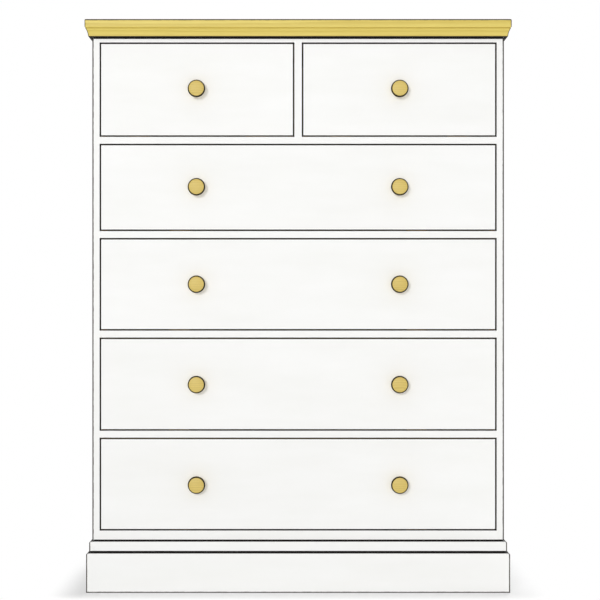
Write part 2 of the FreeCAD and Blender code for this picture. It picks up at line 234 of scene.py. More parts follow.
# Planks of a glued-up panel, and how far the place in the log jumps from one plank or knob to the next
TOP_PLANK_WIDTH = 0.092
TOP_PLANK_SEED = 3.7
TOP_PLANK_SHADES = (0.955, 1.03)
PINE_PLANK_WIDTH = 0.13
PINE_PLANK_SEED = 1.9
PLANK_JUMPS = (3.0, 0.06, 0.05)
KNOB_JUMPS = (2.0, 0.03, 0.03)

# Noise in the finishes. Its stretches draw it out along the first axis.
GRAIN_STRETCH = (0.05, 1.0, 1.0)
FIBRE_STRETCH = (0.018, 1.0, 1.0)
RING_SWAY = Noise(6.0, stretch=GRAIN_STRETCH)
RING_DRIFT = Noise(60.0, stretch=GRAIN_STRETCH)
PATCHES = Noise(18.0, stretch=GRAIN_STRETCH)
FIBRES = Noise(620.0, detail=3.0, roughness=0.6, stretch=FIBRE_STRETCH)
STREAKS = Noise(170.0, detail=4.0, roughness=0.7, stretch=FIBRE_STRETCH)
PEEL = Noise(4.2, roughness=0.4, stretch=(0.22, 1.0, 1.0))
PORES = Noise(900.0)
BRUSH_STROKES = Noise(420.0, detail=3.0, roughness=0.6, stretch=(0.03, 1.0, 1.0))
PAINT_FLOW = Noise(22.0, stretch=(0.25, 1.0, 1.0))
RAGGED_PAINT = Noise(140.0, detail=3.0)
HAND_WANDER = Noise(90.0, detail=3.0)
ZINC_CLOUDS = Noise(900.0, detail=3.0)
NOISE_MIDDLE = 0.5
NOISE_BULK = (0.3, 0.7)
FLOW_BULK = (0.2, 0.8)

# How a ring deepens through the summer and breaks off in winter, as shares of its year
RING_SUMMER = (0.25, 0.88)
RING_WINTER = (0.90, 1.0)
PEEL_SUMMER = (0.15, 0.88)
PEEL_WINTER = (0.91, 1.0)
PEEL_YEARS = 15.0
DRIFT_YEARS = 0.9
SWAY_REACH = (0.0, 0.032, 0.032)
ACROSS_GRAIN = (0.0, 1.0, 1.0)

# How much each thing tells in the tone of wood, from its early colour to its late one, and in its relief
FIBRE_MIDDLE = 0.45
FIBRE_SHARE = 0.9
PATCH_SHARE = 0.5
TONE_SHIFT = 0.12
PLY_RING_SHARE = 0.5
PLY_FIBRE_SHARE = 0.5
PLY_STREAK_SHARE = 0.3
PLY_TONE_SHIFT = -0.22
RING_RELIEF_SHARE = 0.5
END_SLOPE = (0.6, 0.9)
END_TONE = (0.62, 0.55, 0.46)
END_RING_SHARE = 0.6
END_PORE_SHARE = 0.4

# The knob's profile, as shares of its radius and of its projection. The ends only steer the curve.
KNOB_SHARES = (
    (0.62, -0.05), (0.58, 0.0), (0.57, 0.05), (0.46, 0.13), (0.42, 0.25), (0.48, 0.37), (0.70, 0.46),
    (0.92, 0.53), (1.0, 0.64), (0.995, 0.76), (0.93, 0.88), (0.80, 0.95), (0.45, 0.99), (0.0, 1.0),
    (-0.45, 0.99),
)
# Where the painted shade round the knob's rim lies, as shares of its projection
KNOB_RIM_SHADE_SHARES = (0.72, 0.922)
KNOB_STEPS = 5
KNOB_SEGMENTS = 64
LATHE_PITCH = 0.0011
LATHE_RELIEF_SHARE = 0.35
ROUND_THE_LATHE = (1.0, 0.0, 1.0)

# Screws, in metres. A profile's points are a radius and a reach out of the surface.
SCREW_SEGMENTS = 24
CROSS_REACH = 0.0042
CROSS_WIDTH = 0.0010
CROSS_DEPTH = 0.0011
MACHINE_SCREW_PROFILE = (
    (0.0060, 0.0), (0.0060, 0.0010), (0.0044, 0.0010), (0.0044, 0.0018), (0.0040, 0.0027), (0.0026, 0.0034),
    (0.0, 0.0036),
)
BACK_SCREW_PROFILE = ((0.0015, -0.0024), (0.0031, -0.0004), (0.0031, -0.0002), (0.0, -0.0002))
COUNTERSINK_PROFILE = ((0.0017, -0.0027), (0.0033, -0.0006), (0.0037, 0.0003), (0.0, 0.0003))
BACK_SCREW_INSET = 0.0045
BACK_SCREWS_UP = 9
BACK_SCREWS_ACROSS = 7
LEVEL_DECIMALS = 4

# What each copy of a repeated model carries, and which way it faces
TURNING_PLACE = "turning_place"
COPY_NUMBER = "copy_number"
FACING_FRONT = (0.0, 0.0, 0.0)
FACING_BACK = (0.0, 0.0, math.pi)


def from_screen(colour):
    """A colour as screens show it, turned into the linear one that a shader takes."""
    linear = Color([level / SCREEN_WHITE for level in colour]).from_srgb_to_scene_linear()
    return (*linear, 1.0)


# Nodes

def add(tree, kind, inputs=None, **settings):
    """A new node with its settings and inputs. An input is a value or the socket it is linked from."""
    made = tree.nodes.new(kind)
    for name, value in settings.items():
        setattr(made, name, value)
    for name, value in (inputs or {}).items():
        if isinstance(value, bpy.types.NodeSocket):
            tree.links.new(value, made.inputs[name])
        else:
            made.inputs[name].default_value = value
    return made


def declare(tree, side, sockets):
    """Gives a node group its inputs or its outputs, from their names and kinds."""
    for name, kind in sockets.items():
        tree.interface.new_socket(name, in_out=side, socket_type="NodeSocket" + kind)


def calc(tree, operation, *values, clamp=False):
    """The result of a sum on numbers."""
    inputs = dict(enumerate(values))
    return add(tree, "ShaderNodeMath", inputs, operation=operation, use_clamp=clamp).outputs[0]


def fold(tree, operation, first, *others):
    """The result of a sum that takes in any count of numbers, one after the other."""
    result = first
    for other in others:
        result = calc(tree, operation, result, other)
    return result


def weighed(tree, *pairs):
    """The total of some numbers, each times its share."""
    return fold(tree, "ADD", *[calc(tree, "MULTIPLY", value, share) for value, share in pairs])


def vector_calc(tree, operation, *values):
    """The result of a sum on vectors."""
    inputs = dict(enumerate(values))
    made = add(tree, "ShaderNodeVectorMath", inputs, operation=operation)
    return made.outputs["Value" if operation == "LENGTH" else "Vector"]


def axes(tree, vector):
    """The three numbers of a vector, under the names X, Y and Z."""
    return add(tree, "ShaderNodeSeparateXYZ", {0: vector}).outputs


def between(tree, value, low, high, to_low=0.0, to_high=1.0):
    """A number carried smoothly from one range to another, and held at its ends."""
    made = add(tree, "ShaderNodeMapRange", {
        "Value": value, "From Min": low, "From Max": high, "To Min": to_low, "To Max": to_high,
    }, interpolation_type="SMOOTHSTEP")
    return made.outputs["Result"]


def mix_colour(tree, share, first, second):
    """The first colour where the share is 0, and the second where it is 1."""
    return add(tree, "ShaderNodeMix", {0: share, 6: first, 7: second}, data_type="RGBA").outputs[2]


def mix_number(tree, share, first, second):
    """The first number where the share is 0, and the second where it is 1."""
    return add(tree, "ShaderNodeMix", {0: share, 2: first, 3: second}).outputs[0]


def shaded(tree, colour, factor):
    """A colour made lighter or darker by a factor."""
    made = add(tree, "ShaderNodeVectorMath", operation="SCALE", inputs={"Vector": colour, "Scale": factor})
    return made.outputs["Vector"]


def noise(tree, place, kind, output="Fac"):
    """Smooth noise from 0 to 1, as one number, or as three with the output Color."""
    made = add(tree, "ShaderNodeTexNoise", {
        "Vector": vector_calc(tree, "MULTIPLY", place, kind.stretch), "Scale": kind.scale,
        "Detail": kind.detail, "Roughness": kind.roughness,
    })
    return made.outputs[output]


def random_draw(tree, number):
    """A random Value and Color that belong to a number."""
    return add(tree, "ShaderNodeTexWhiteNoise", {"W": number}, noise_dimensions="1D").outputs


def new_material(name):
    """A material with no nodes yet, and its tree."""
    made = bpy.data.materials.new(name)
    made.use_nodes = True
    made.node_tree.nodes.clear()
    return made, made.node_tree


def object_place(tree):
    """The place on the object, which is also the place in the frame."""
    return add(tree, "ShaderNodeTexCoord").outputs["Object"]


def turned_to_grain(tree, place, grain):
    """The place with its axes changed round so that the grain runs along the first one."""
    given = axes(tree, place)
    order = {"X": "XYZ", "Y": "YXZ", "Z": "ZXY"}[grain]
    inputs = {axis: given[source] for axis, source in zip("XYZ", order)}
    return add(tree, "ShaderNodeCombineXYZ", inputs).outputs[0]


def surface(tree, colour, height, relief, roughness, gloss, metallic=0.0):
    """Ends a material with a surface of that colour and a fine relief of that depth."""
    bump = add(tree, "ShaderNodeBump", {"Height": height, "Distance": relief, "Strength": 1.0})
    made = add(tree, "ShaderNodeBsdfPrincipled", {
        "Base Color": colour, "Roughness": roughness, "Specular IOR Level": gloss, "Metallic": metallic,
        "Normal": bump.outputs[0],
    })
    add(tree, "ShaderNodeOutputMaterial", {"Surface": made.outputs[0]})


# Wood: growth rings round a pith that lies along the grain, with fine fibres

def ring_band(tree, years, summer, winter):
    """How far a ring has deepened, from a count of years with a fraction."""
    year = calc(tree, "FRACT", years)
    return calc(tree, "SUBTRACT", between(tree, year, *summer), between(tree, year, *winter))


def timber_group():
    """A node group for solid wood. Its place is in metres, with the grain along X."""
    tree = bpy.data.node_groups.new("timber", "ShaderNodeTree")
    declare(tree, "INPUT", {
        "Place": "Vector", "Early": "Color", "Late": "Color", "Ring Width": "Float", "Figure": "Float",
        "End": "Float",
    })
    declare(tree, "OUTPUT", {"Colour": "Color", "Height": "Float"})
    given = tree.nodes.new("NodeGroupInput").outputs
    place = given["Place"]
    sway = vector_calc(tree, "SUBTRACT", noise(tree, place, RING_SWAY, "Color"), [NOISE_MIDDLE] * 3)
    sway = vector_calc(tree, "MULTIPLY", sway, SWAY_REACH)
    across = vector_calc(tree, "MULTIPLY", place, ACROSS_GRAIN)
    radius = vector_calc(tree, "LENGTH", vector_calc(tree, "ADD", across, sway))
    rings = calc(tree, "DIVIDE", radius, given["Ring Width"])
    drift = calc(tree, "MULTIPLY", noise(tree, place, RING_DRIFT), DRIFT_YEARS)
    band = ring_band(tree, calc(tree, "ADD", rings, drift), RING_SUMMER, RING_WINTER)
    fibre = noise(tree, place, FIBRES)
    fibre_tone = calc(tree, "SUBTRACT", fibre, FIBRE_MIDDLE)
    patch_tone = calc(tree, "SUBTRACT", noise(tree, place, PATCHES), NOISE_MIDDLE)
    tone = weighed(tree, (band, given["Figure"]), (fibre_tone, FIBRE_SHARE), (patch_tone, PATCH_SHARE))
    tone = calc(tree, "ADD", tone, TONE_SHIFT, clamp=True)
    colour = mix_colour(tree, tone, given["Early"], given["Late"])
    soaked = weighed(tree, (band, END_RING_SHARE), (noise(tree, place, PORES), END_PORE_SHARE))
    dark = vector_calc(tree, "MULTIPLY", given["Late"], END_TONE)
    end_colour = mix_colour(tree, soaked, given["Late"], dark)
    add(tree, "NodeGroupOutput", {
        "Colour": mix_colour(tree, given["End"], colour, end_colour),
        "Height": weighed(tree, (fibre, 1.0), (band, RING_RELIEF_SHARE)),
    })
    return tree


TIMBER = timber_group()


def timber(tree, place, wood, end=0.0):
    """Solid wood at a place whose first axis is the grain. The grain is cut across where end is 1."""
    made = add(tree, "ShaderNodeGroup", node_tree=TIMBER, inputs={
        "Place": place, "Early": from_screen(wood.early), "Late": from_screen(wood.late),
        "Ring Width": wood.ring_width, "Figure": wood.figure, "End": end,
    })
    return made.outputs["Colour"], made.outputs["Height"]


def end_share(tree, grain):
    """1 where a face cuts across the grain and 0 along it."""
    normal = add(tree, "ShaderNodeTexCoord").outputs["Normal"]
    return between(tree, calc(tree, "ABSOLUTE", axes(tree, normal)[grain]), *END_SLOPE)


def plank_by_plank(tree, place, width, axis, seed):
    """The place moved at random for each plank of a glued-up panel, and a random number for each."""
    number = calc(tree, "FLOOR", calc(tree, "DIVIDE", axes(tree, place)[axis], width))
    drawn = random_draw(tree, calc(tree, "ADD", number, seed))
    jump = vector_calc(tree, "MULTIPLY", drawn["Color"], PLANK_JUMPS)
    return vector_calc(tree, "ADD", place, jump), drawn["Value"]


# Masks: 1 inside and 0 outside

def inside_span(tree, value, span, edge):
    """1 where a number lies between two limits and 0 outside them, with soft edges."""
    above = between(tree, value, span[0] - edge, span[0])
    below = between(tree, value, span[1], span[1] + edge, 1.0, 0.0)
    return calc(tree, "MULTIPLY", above, below)


def groove_shade_mask(tree, place, spans, front, side):
    """1 in the shadow grooves between the given levels, behind the given front and side faces."""
    given = axes(tree, place)
    behind = between(tree, given["Y"], front, front + GROOVE_SKIN)
    outward = calc(tree, "ABSOLUTE", given["X"])
    within = between(tree, outward, side - GROOVE_SKIN, side, 1.0, 0.0)
    levels = [inside_span(tree, given["Z"], span, GROOVE_LIP) for span in spans]
    return fold(tree, "MULTIPLY", behind, within, fold(tree, "MAXIMUM", *levels))


def toned_within(tree, place, distance, width):
    """1 where a distance is under a width, and 0 past it. The limit wanders a little, as by hand."""
    wander = between(tree, noise(tree, place, HAND_WANDER), *NOISE_BULK, *LINE_WANDER)
    wandering = calc(tree, "MULTIPLY", distance, wander)
    return between(tree, wandering, LINE_CORE_SHARE * width, width, 1.0, 0.0)


def arris_shade_mask(tree, place, low, high, width):
    """1 along the arrises of a box that is alike on both sides of X = 0, and 0 on its faces."""
    given = axes(tree, place)
    values = (calc(tree, "ABSOLUTE", given["X"]), given["Y"], given["Z"])
    depths = []
    for value, near, far in zip(values, low, high):
        inward = calc(tree, "SUBTRACT", value, near)
        outward = calc(tree, "SUBTRACT", far, value)
        depths.append(calc(tree, "MINIMUM", inward, outward))
    # The second smallest depth is small only where two faces meet
    lesser = calc(tree, "MINIMUM", depths[0], depths[1])
    greater = calc(tree, "MAXIMUM", depths[0], depths[1])
    second = calc(tree, "MAXIMUM", lesser, calc(tree, "MINIMUM", greater, depths[2]))
    return toned_within(tree, place, second, width)


def mitre_line(tree, place, width):
    """1 along the mitres at the two front corners of the case, and 0 away from them."""
    given = axes(tree, place)
    outward = calc(tree, "SUBTRACT", calc(tree, "ABSOLUTE", given["X"]), CASE_HALF_WIDTH)
    forward = calc(tree, "SUBTRACT", CASE_FRONT, given["Y"])
    apart = calc(tree, "ABSOLUTE", calc(tree, "SUBTRACT", outward, forward))
    return toned_within(tree, place, apart, width)


# Finishes

def lacquer(tree, colour, height, relief, dull):
    """Ends a golden finish with satin lacquer, which turns rough and matt where dull is 1."""
    roughness = mix_number(tree, dull, LACQUER_ROUGHNESS, WORN_ROUGHNESS)
    surface(tree, colour, height, relief, roughness, LACQUER_GLOSS)


def golden_top_wood():
    """The top: planks of pale golden wood glued edge to edge, with painted shade along the arrises."""
    material, tree = new_material("golden_top_wood")
    place = vector_calc(tree, "ADD", object_place(tree), TOP_CUT)
    place, drawn = plank_by_plank(tree, place, TOP_PLANK_WIDTH, "Y", TOP_PLANK_SEED)
    colour, height = timber(tree, place, TOP_WOOD, end_share(tree, "X"))
    colour = shaded(tree, colour, between(tree, drawn, 0.0, 1.0, *TOP_PLANK_SHADES))
    low, high = TOP_BOARD
    ends = high.x + TOP_EDGE_LINE - TOP_END_LINE
    # Painted shade: the wood is darkened along the arrises of the top
    toned = arris_shade_mask(tree, object_place(tree), (-FAR, low.y, -FAR), (ends, high.y, high.z), TOP_EDGE_LINE)
    colour = mix_colour(tree, toned, colour, from_screen(GOLD_EDGE_SHADE_AND_MITRE))
    lacquer(tree, colour, height, LACQUER_RELIEF, toned)
    return material


def golden_moulding_wood(name, grain):
    """A length of the hollow moulding, toned dark along its mitre. Its underside is painted dark as shade.
    """
    material, tree = new_material(name)
    place = object_place(tree)
    log_place = vector_calc(tree, "ADD", turned_to_grain(tree, place, grain), MOULDING_CUT)
    colour, height = timber(tree, log_place, MOULDING_WOOD, end_share(tree, grain))
    level = axes(tree, place)["Z"]
    # Painted shade: the moulding's underside is dark
    under = between(tree, level, TOP_MOULDING_FOOT, TOP_MOULDING_FOOT + GROOVE_SKIN, 1.0, 0.0)
    colour = mix_colour(tree, under, colour, from_screen(PAINTED_RECESS_SHADE))
    toned = mitre_line(tree, place, TOP_MITRE_LINE)
    colour = mix_colour(tree, toned, colour, from_screen(GOLD_EDGE_SHADE_AND_MITRE))
    lacquer(tree, colour, height, LACQUER_RELIEF, calc(tree, "MAXIMUM", toned, under))
    return material


def turned_knob_wood():
    """The knobs: each turned from its own piece, with faint lathe rings and painted shade round the rim."""
    material, tree = new_material("turned_knob_wood")
    place = add(tree, "ShaderNodeAttribute", attribute_name=TURNING_PLACE).outputs["Vector"]
    number = add(tree, "ShaderNodeAttribute", attribute_name=COPY_NUMBER).outputs["Fac"]
    jump = vector_calc(tree, "MULTIPLY", random_draw(tree, number)["Color"], KNOB_JUMPS)
    log_place = vector_calc(tree, "ADD", vector_calc(tree, "ADD", place, jump), KNOB_CUT)
    colour, height = timber(tree, log_place, KNOB_WOOD)
    radius = vector_calc(tree, "LENGTH", vector_calc(tree, "MULTIPLY", place, ROUND_THE_LATHE))
    tool = calc(tree, "SINE", calc(tree, "MULTIPLY", radius, 2 * math.pi / LATHE_PITCH))
    height = weighed(tree, (height, 1.0), (tool, LATHE_RELIEF_SHARE))
    reach = calc(tree, "MULTIPLY", axes(tree, place)["Y"], -1.0)
    # Painted shade: a dark ring round the rim, between these reaches
    span = [share * KNOB_PROJECTION for share in KNOB_RIM_SHADE_SHARES]
    rim_shade = inside_span(tree, reach, span, GROOVE_SKIN)
    colour = mix_colour(tree, rim_shade, colour, from_screen(RIM_SHADE_COLOUR))
    lacquer(tree, colour, height, KNOB_RELIEF, rim_shade)
    return material


def paint_film(tree, place):
    """White paint with brush strokes along X: its colour, its relief and how thick it flowed."""
    flow = noise(tree, place, PAINT_FLOW)
    colour = mix_colour(tree, flow, from_screen(PAINT_LOW), from_screen(PAINT_HIGH))
    height = calc(tree, "ADD", noise(tree, place, BRUSH_STROKES), flow)
    return colour, height, flow


def painted_trim(name, grain, low, high, ledge, grooves):
    """White paint, dark along the mitres, with painted shade along the arrises of a box from low to high.

    The ledge is the level of its upper face, which is painted dark as shade, and so are the grooves.
    """
    material, tree = new_material(name)
    place = object_place(tree)
    colour, height, flow = paint_film(tree, turned_to_grain(tree, place, grain))
    # Painted shade along the arrises, joined with dark lines along the mitres
    arrises = arris_shade_mask(tree, place, low, high, BASE_EDGE_LINE)
    edge_shade_and_mitre = calc(tree, "MAXIMUM", arrises, mitre_line(tree, place, BASE_EDGE_LINE))
    colour = mix_colour(tree, edge_shade_and_mitre, colour, from_screen(PAINT_EDGE_SHADE_AND_MITRE))
    # Painted shade on the upper face of the ledge, and in the grooves
    recess_shade_mask = between(tree, axes(tree, place)["Z"], ledge - LEDGE_SKIN, ledge)
    if grooves:
        recess_shade_mask = calc(tree, "MAXIMUM", recess_shade_mask, groove_shade_mask(tree, place, grooves, low[1], high[0]))
    colour = mix_colour(tree, recess_shade_mask, colour, from_screen(PAINTED_RECESS_SHADE))
    roughness = between(tree, flow, *FLOW_BULK, *TRIM_ROUGHNESS)
    roughness = mix_number(tree, recess_shade_mask, roughness, WORN_ROUGHNESS)
    surface(tree, colour, height, PAINT_RELIEF, roughness, PAINT_GLOSS)
    return material


def pine_with_reveal_shade(tree, grained, grain, depth, reveal):
    """The colour and the relief of pine that is painted dark as shade down to the depth of a reveal."""
    log_place = vector_calc(tree, "ADD", grained, PAINTED_CUT)
    colour, height = timber(tree, log_place, PINE, end_share(tree, grain))
    # Painted shade: the pine in the reveal is dark down to the reveal's depth
    dark = between(tree, depth, reveal, reveal + PAINT_TURN, 1.0, 0.0)
    return mix_colour(tree, dark, colour, from_screen(PAINTED_REVEAL_SHADE)), height


def painted_board(name, grain, reveal, turn=PAINT_TURN, open_x=None, grooves=(), edge=None):
    """White paint over pine, bare behind the turn of the front edge, and painted dark as shade in the
    reveal.

    With open_x, the pine is bare only within that distance of the middle. Grooves are painted dark as
    shade.
    An edge is a box's two corners and a width: painted shade darkens the paint that wide along its arrises.
    """
    material, tree = new_material(name)
    place = object_place(tree)
    given = axes(tree, place)
    grained = turned_to_grain(tree, place, grain)
    paint_colour, paint_height, _ = paint_film(tree, grained)
    ragged = calc(tree, "MULTIPLY", noise(tree, place, RAGGED_PAINT), turn)
    depth = calc(tree, "ADD", calc(tree, "SUBTRACT", given["Y"], CASE_FRONT), ragged)
    bare = between(tree, depth, turn, (1 + PAINT_FEATHER_SHARE) * turn)
    if open_x is not None:
        outward = calc(tree, "ABSOLUTE", given["X"])
        bare = calc(tree, "MULTIPLY", bare, between(tree, outward, open_x, open_x + GROOVE_SKIN, 1.0, 0.0))
    wood_colour, wood_height = pine_with_reveal_shade(tree, grained, grain, depth, reveal)
    colour = mix_colour(tree, bare, paint_colour, wood_colour)
    # Painted shade along the arrises of the given box
    if edge is not None:
        colour = mix_colour(tree, arris_shade_mask(tree, place, *edge), colour, from_screen(PAINT_EDGE_SHADE_AND_MITRE))
    roughness = between(tree, bare, 0.0, 1.0, *BOARD_ROUGHNESS)
    # Painted shade in the grooves
    if grooves:
        recess_shade_mask = groove_shade_mask(tree, place, grooves, CASE_FRONT, CASE_HALF_WIDTH)
        colour = mix_colour(tree, recess_shade_mask, colour, from_screen(PAINTED_RECESS_SHADE))
        roughness = mix_number(tree, recess_shade_mask, roughness, WORN_ROUGHNESS)
    height = mix_number(tree, bare, paint_height, wood_height)
    surface(tree, colour, height, PAINT_RELIEF, roughness, PAINT_GLOSS)
    return material


def painted_drawer_front(drawer):
    """The paint of one drawer front, with painted shade along the edges of its face."""
    low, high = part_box(drawer + "_front")
    across = sorted((abs(low.x), abs(high.x)))
    inner = across[0] if low.x * high.x > 0 else -FAR
    edge = ((inner, low.y, low.z), (across[1], FAR, high.z), FRONT_EDGE_LINE)
    return painted_board(f"painted_{drawer}_front", "X", FRONT_REVEAL_DEPTH, FRONT_PAINT_TURN, edge=edge)


def bare_pine(name, grain, cut):
    """Planed pine with no finish."""
    material, tree = new_material(name)
    place = vector_calc(tree, "ADD", turned_to_grain(tree, object_place(tree), grain), cut)
    place, _ = plank_by_plank(tree, place, PINE_PLANK_WIDTH, "Z", PINE_PLANK_SEED)
    colour, height = timber(tree, place, PINE, end_share(tree, grain))
    surface(tree, colour, height, PINE_RELIEF, PINE_ROUGHNESS, BARE_GLOSS)
    return material


def plywood(name, grain):
    """A sheet whose face ply was peeled from the log, so that its figure is broad and wandering."""
    material, tree = new_material(name)
    place = turned_to_grain(tree, object_place(tree), grain)
    years = calc(tree, "MULTIPLY", noise(tree, place, PEEL), PEEL_YEARS)
    band = ring_band(tree, years, PEEL_SUMMER, PEEL_WINTER)
    fibre = noise(tree, place, FIBRES)
    streak = between(tree, noise(tree, place, STREAKS), *NOISE_BULK)
    tone = weighed(tree, (band, PLY_RING_SHARE), (fibre, PLY_FIBRE_SHARE), (streak, PLY_STREAK_SHARE))
    tone = calc(tree, "ADD", tone, PLY_TONE_SHIFT, clamp=True)
    colour = mix_colour(tree, tone, from_screen(PLY_EARLY), from_screen(PLY_LATE))
    height = weighed(tree, (fibre, 1.0), (band, RING_RELIEF_SHARE))
    surface(tree, colour, height, PLY_RELIEF, PLY_ROUGHNESS, BARE_GLOSS)
    return material


def zinc_plate():
    """Screws of zinc-plated steel."""
    material, tree = new_material("zinc_plate")
    cloud = noise(tree, object_place(tree), ZINC_CLOUDS)
    colour = mix_colour(tree, cloud, from_screen(ZINC_DARK), from_screen(ZINC_LIGHT))
    surface(tree, colour, cloud, ZINC_RELIEF, ZINC_ROUGHNESS, ZINC_GLOSS, metallic=1.0)
    return material


def give(material, *names):
    """Makes a material the only one of some CAD nodes."""
    for name in names:
        mesh = NODES[name].data
        mesh.materials.clear()
        mesh.materials.append(material)


# Meshes

def mesh_object(name, mesh, material):
    """An object of one mesh and one material, at the origin."""
    made = bpy.data.objects.new(name, mesh)
    bpy.context.scene.collection.objects.link(made)
    mesh.materials.clear()
    mesh.materials.append(material)
    return made


def add_block(made, size, middle):
    """Adds a box to a mesh that is being made."""
    corners = bmesh.ops.create_cube(made, size=1.0)["verts"]
    bmesh.ops.scale(made, vec=size, verts=corners)
    bmesh.ops.translate(made, vec=middle, verts=corners)


def as_mesh(made, name):
    """The finished mesh of what was being made."""
    mesh = bpy.data.meshes.new(name)
    made.to_mesh(mesh)
    made.free()
    return mesh


def smooth_through(points, steps):
    """Points on a smooth curve through the given ones. The first and last only steer its ends."""
    curve = []
    for corners in zip(points, points[1:], points[2:], points[3:]):
        for step in range(steps):
            share = step / steps
            square = share ** 2
            cube = share ** 3
            weights = (
                (-cube + 2 * square - share) / 2, (3 * cube - 5 * square + 2) / 2,
                (-3 * cube + 4 * square + share) / 2, (cube - square) / 2,
            )
            curve.append(tuple(
                sum(weight * corner[axis] for weight, corner in zip(weights, corners)) for axis in (0, 1)
            ))
    curve.append(points[-2])
    return curve


def lathe(name, profile, segments):
    """A closed mesh turned round the Y axis. The profile's points are a radius and a reach along -Y."""
    made = bmesh.new()
    angles = [2 * math.pi * step / segments for step in range(segments)]
    rings = []
    for radius, reach in profile:
        if radius == 0:
            rings.append([made.verts.new((0.0, -reach, 0.0))] * segments)
            continue
        places = [(radius * math.cos(angle), -reach, radius * math.sin(angle)) for angle in angles]
        rings.append([made.verts.new(place) for place in places])
    made.faces.new(rings[0])
    for lower, upper in zip(rings, rings[1:]):
        for step in range(segments):
            after = (step + 1) % segments
            corners = [lower[step], lower[after], upper[after], upper[step]]
            made.faces.new(list(dict.fromkeys(corners)))
    bmesh.ops.recalc_face_normals(made, faces=made.faces)
    mesh = as_mesh(made, name)
    mesh.shade_smooth()
    return mesh


def set_out_tree():
    """A tree that puts a model at each point. Each copy keeps its own place on the model and its number."""
    tree = bpy.data.node_groups.new("set_out_at_points", "GeometryNodeTree")
    declare(tree, "INPUT", {
        "Geometry": "Geometry", "Model": "Object", "Turn": "Vector", "First Number": "Int",
        "Finish": "Material",
    })
    declare(tree, "OUTPUT", {"Geometry": "Geometry"})
    given = tree.nodes.new("NodeGroupInput").outputs
    model = add(tree, "GeometryNodeObjectInfo", {"Object": given["Model"]})
    place = add(tree, "GeometryNodeInputPosition").outputs[0]
    placed = add(tree, "GeometryNodeStoreNamedAttribute", {
        "Geometry": model.outputs["Geometry"], "Name": TURNING_PLACE, "Value": place,
    }, data_type="FLOAT_VECTOR", domain="POINT")
    turn = add(tree, "FunctionNodeEulerToRotation", {0: given["Turn"]})
    copies = add(tree, "GeometryNodeInstanceOnPoints", {
        "Points": given["Geometry"], "Instance": placed.outputs[0], "Rotation": turn.outputs[0],
    })
    number = calc(tree, "ADD", add(tree, "GeometryNodeInputIndex").outputs[0], given["First Number"])
    numbered = add(tree, "GeometryNodeStoreNamedAttribute", {
        "Geometry": copies.outputs[0], "Name": COPY_NUMBER, "Value": number,
    }, data_type="FLOAT", domain="INSTANCE")
    joined = add(tree, "GeometryNodeRealizeInstances", {0: numbered.outputs[0]})
    finished = add(tree, "GeometryNodeSetMaterial", {
        "Geometry": joined.outputs[0], "Material": given["Finish"],
    })
    add(tree, "NodeGroupOutput", {"Geometry": finished.outputs[0]})
    return tree


SET_OUT_TREE = set_out_tree()


def settled(thing):
    """The plain mesh that an object's modifiers give. The object is removed."""
    bpy.context.view_layer.update()
    seen = thing.evaluated_get(bpy.context.evaluated_depsgraph_get())
    mesh = bpy.data.meshes.new_from_object(seen)
    bpy.data.objects.remove(thing)
    return mesh


def set_out(name, model, places, turn, finish, first_number=0):
    """One object with a copy of a model mesh at each place."""
    points = bpy.data.meshes.new(name)
    points.from_pydata(places, [], [])
    carrier = mesh_object(name, points, finish)
    pattern = mesh_object(name + "_model", model, finish)
    row = carrier.modifiers.new("set_out", "NODES")
    row.node_group = SET_OUT_TREE
    values = {"Model": pattern, "Turn": turn, "First Number": first_number, "Finish": finish}
    for socket in SET_OUT_TREE.interface.items_tree:
        if socket.in_out == "INPUT" and socket.name in values:
            row[socket.identifier] = values[socket.name]
    mesh = settled(carrier)
    bpy.data.objects.remove(pattern)
    return mesh_object(name, mesh, finish)


def cut_by(target, cutter):
    """A mesh with another one taken out of it. Both objects are removed."""
    cut = target.modifiers.new("cut", "BOOLEAN")
    cut.operation = "DIFFERENCE"
    cut.solver = "EXACT"
    cut.object = cutter
    mesh = settled(target)
    bpy.data.objects.remove(cutter)
    return mesh


# The case

def paint_case():
    """The painted boards of the case's front and sides."""
    # The uprights take painted shade along the arrises of this box
    edge_shade_box = ((-FAR, CASE_FRONT, -FAR), (CASE_HALF_WIDTH, CASE_BACK, FAR))
    uprights = painted_board(
        "painted_upright", "Z", REVEAL_DEPTH, open_x=CASE_INSIDE_HALF_WIDTH, grooves=CASE_GROOVES,
        edge=(*edge_shade_box, CASE_EDGE_LINE),
    )
    give(uprights, "side_panel_left", "side_panel_right")
    give(painted_board("painted_muntin", "Z", REVEAL_DEPTH), "muntin")
    rails = painted_board("painted_rail", "X", REVEAL_DEPTH, grooves=CASE_GROOVES)
    give(rails, "drawer_rails", "top_rails", "bottom_rails")


def paint_base():
    """The base moulding and the plinth."""
    for part, box, foot, grooves in (
        ("base_moulding", BASE_MOULDING, -FAR, (PLINTH_GROOVE,)), ("plinth", PLINTH, 0.0, ()),
    ):
        low = (-FAR, box[0].y, foot)
        high = (box[1].x, CASE_BACK, FAR)
        ledge = box[1].z
        give(painted_trim(part + "_front_paint", "X", low, high, ledge, grooves), part + "_front")
        give(painted_trim(part + "_side_paint", "Y", low, high, ledge, grooves), part + "_returns")


def dress_top():
    """The top board and the moulding under it."""
    give(golden_top_wood(), "top_board")
    give(golden_moulding_wood("golden_front_moulding", "X"), "top_moulding_front")
    give(golden_moulding_wood("golden_side_moulding", "Y"), "top_moulding_returns")


def dress_inside(lengthways, crossways):
    """The bare wood inside the case."""
    give(lengthways, "side_runners", "centre_runner", "centre_guide", "kickers")
    give(crossways, "back_rails", "drawer_stops", "plinth_backing")
    give(bare_pine("pine_upright", "Z", UPRIGHT_CUT), "corner_blocks")
    give(plywood("dust_plywood", "X"), "dust_panel")


# Screws

